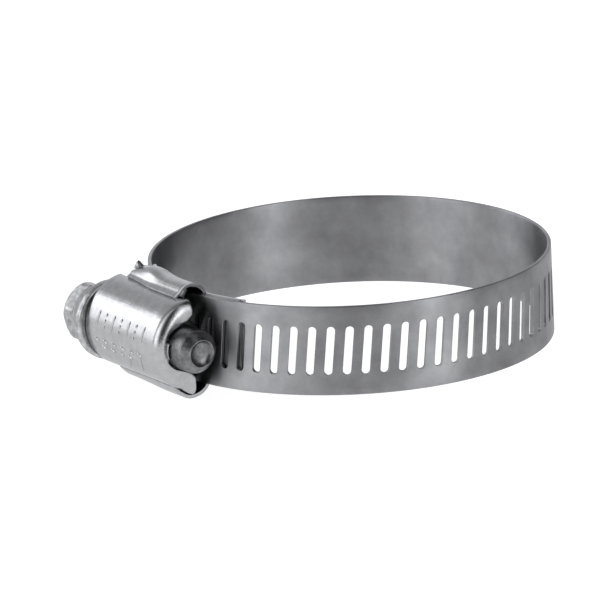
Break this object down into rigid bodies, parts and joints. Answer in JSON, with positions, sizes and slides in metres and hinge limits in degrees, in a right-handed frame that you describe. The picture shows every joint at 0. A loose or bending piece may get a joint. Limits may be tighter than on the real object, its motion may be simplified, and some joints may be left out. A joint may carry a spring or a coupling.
{
  "type": "hose clamp",
  "caption": "Worm-drive hose clamp: slotted steel band, arched screw housing with a folded saddle, and a hex-head worm screw that draws the band tight.",
  "frame": {"origin": "centre of the clamped hose, at the middle of the band's width", "axes": "+Z along the hose, the housing at -Y, the worm screw along X with its hex head at -X"},
  "size_m": [0.0566, 0.0662, 0.0169],
  "materials": {
    "band": "brushed",
    "housing": "polished",
    "saddle": "polished",
    "screw": "plated"
  },
  "bodies": {
    "housing": {"housing_cap": "housing", "saddle": "saddle", "band_anchor_end": "band"},
    "screw": {"worm_screw": "screw"},
    "slotted_end": {"band_slotted_end": "band"},
    "flex_a1": {"band_flex_a1": "band"},
    "flex_a2": {"band_flex_a2": "band"},
    "flex_a3": {"band_flex_a3": "band"},
    "flex_a4": {"band_flex_a4": "band"},
    "flex_a5": {"band_flex_a5": "band"},
    "flex_a6": {"band_flex_a6": "band"},
    "flex_a7": {"band_flex_a7": "band"},
    "flex_a8": {"band_flex_a8": "band"},
    "flex_b1": {"band_flex_b1": "band"},
    "flex_b2": {"band_flex_b2": "band"},
    "flex_b3": {"band_flex_b3": "band"},
    "flex_b4": {"band_flex_b4": "band"},
    "flex_b5": {"band_flex_b5": "band"}
  },
  "joints": [
    {"name": "screw_turn", "type": "hinge", "parent": "housing", "child": "screw", "pos_m": [0, -0.0326, 0], "axis": [1, 0, 0], "range_deg": [0, 7200]},
    {"name": "slotted_end_feed", "type": "hinge", "parent": "housing", "child": "slotted_end", "pos_m": [0, -0.00061, 0], "axis": [0, 0, -1], "range_deg": [0, 104.77]},
    {"name": "flex_a1_bend", "type": "hinge", "parent": "housing", "child": "flex_a1", "pos_m": [-0.013, -0.02478, 0], "axis": [0, 0, -1], "range_deg": [0, 11.98]},
    {"name": "flex_a2_bend", "type": "hinge", "parent": "flex_a1", "child": "flex_a2", "pos_m": [-0.01944, -0.01987, 0], "axis": [0, 0, -1], "range_deg": [0, 10.44]},
    {"name": "flex_a3_bend", "type": "hinge", "parent": "flex_a2", "child": "flex_a3", "pos_m": [-0.02422, -0.01332, 0], "axis": [0, 0, -1], "range_deg": [0, 8.94]},
    {"name": "flex_a4_bend", "type": "hinge", "parent": "flex_a3", "child": "flex_a4", "pos_m": [-0.02692, -0.00568, 0], "axis": [0, 0, -1], "range_deg": [0, 7.54]},
    {"name": "flex_a5_bend", "type": "hinge", "parent": "flex_a4", "child": "flex_a5", "pos_m": [-0.02732, 0.00242, 0], "axis": [0, 0, -1], "range_deg": [0, 6.39]},
    {"name": "flex_a6_bend", "type": "hinge", "parent": "flex_a5", "child": "flex_a6", "pos_m": [-0.02539, 0.01029, 0], "axis": [0, 0, -1], "range_deg": [0, 5.6]},
    {"name": "flex_a7_bend", "type": "hinge", "parent": "flex_a6", "child": "flex_a7", "pos_m": [-0.02139, 0.01712, 0], "axis": [0, 0, -1], "range_deg": [0, 5.28]},
    {"name": "flex_a8_bend", "type": "hinge", "parent": "flex_a7", "child": "flex_a8", "pos_m": [-0.01561, 0.02252, 0], "axis": [0, 0, -1], "range_deg": [0, 5.46]},
    {"name": "flex_b1_bend", "type": "hinge", "parent": "slotted_end", "child": "flex_b1", "pos_m": [0.02092, 0.01801, 0], "axis": [0, 0, 1], "range_deg": [0, 11.47]},
    {"name": "flex_b2_bend", "type": "hinge", "parent": "flex_b1", "child": "flex_b2", "pos_m": [0.01473, 0.02322, 0], "axis": [0, 0, 1], "range_deg": [0, 9.96]},
    {"name": "flex_b3_bend", "type": "hinge", "parent": "flex_b2", "child": "flex_b3", "pos_m": [0.0073, 0.02643, 0], "axis": [0, 0, 1], "range_deg": [0, 8.49]},
    {"name": "flex_b4_bend", "type": "hinge", "parent": "flex_b3", "child": "flex_b4", "pos_m": [-0.00072, 0.02739, 0], "axis": [0, 0, 1], "range_deg": [0, 7.16]},
    {"name": "flex_b5_bend", "type": "hinge", "parent": "flex_b4", "child": "flex_b5", "pos_m": [-0.00852, 0.02604, 0], "axis": [0, 0, 1], "range_deg": [0, 6.11]}
  ],
  "couplings": [
    {"joint": "slotted_end_feed", "follows": "screw_turn", "ratio": 0.01455},
    {"joint": "flex_a1_bend", "follows": "screw_turn", "ratio": 0.001663},
    {"joint": "flex_a2_bend", "follows": "screw_turn", "ratio": 0.0014497},
    {"joint": "flex_a3_bend", "follows": "screw_turn", "ratio": 0.0012405},
    {"joint": "flex_a4_bend", "follows": "screw_turn", "ratio": 0.0010472},
    {"joint": "flex_a5_bend", "follows": "screw_turn", "ratio": 0.00088708},
    {"joint": "flex_a6_bend", "follows": "screw_turn", "ratio": 0.00077776},
    {"joint": "flex_a7_bend", "follows": "screw_turn", "ratio": 0.00073259},
    {"joint": "flex_a8_bend", "follows": "screw_turn", "ratio": 0.00075716},
    {"joint": "flex_b1_bend", "follows": "screw_turn", "ratio": 0.0015926},
    {"joint": "flex_b2_bend", "follows": "screw_turn", "ratio": 0.0013822},
    {"joint": "flex_b3_bend", "follows": "screw_turn", "ratio": 0.0011781},
    {"joint": "flex_b4_bend", "follows": "screw_turn", "ratio": 0.00099405},
    {"joint": "flex_b5_bend", "follows": "screw_turn", "ratio": 0.00084814}
  ]
}
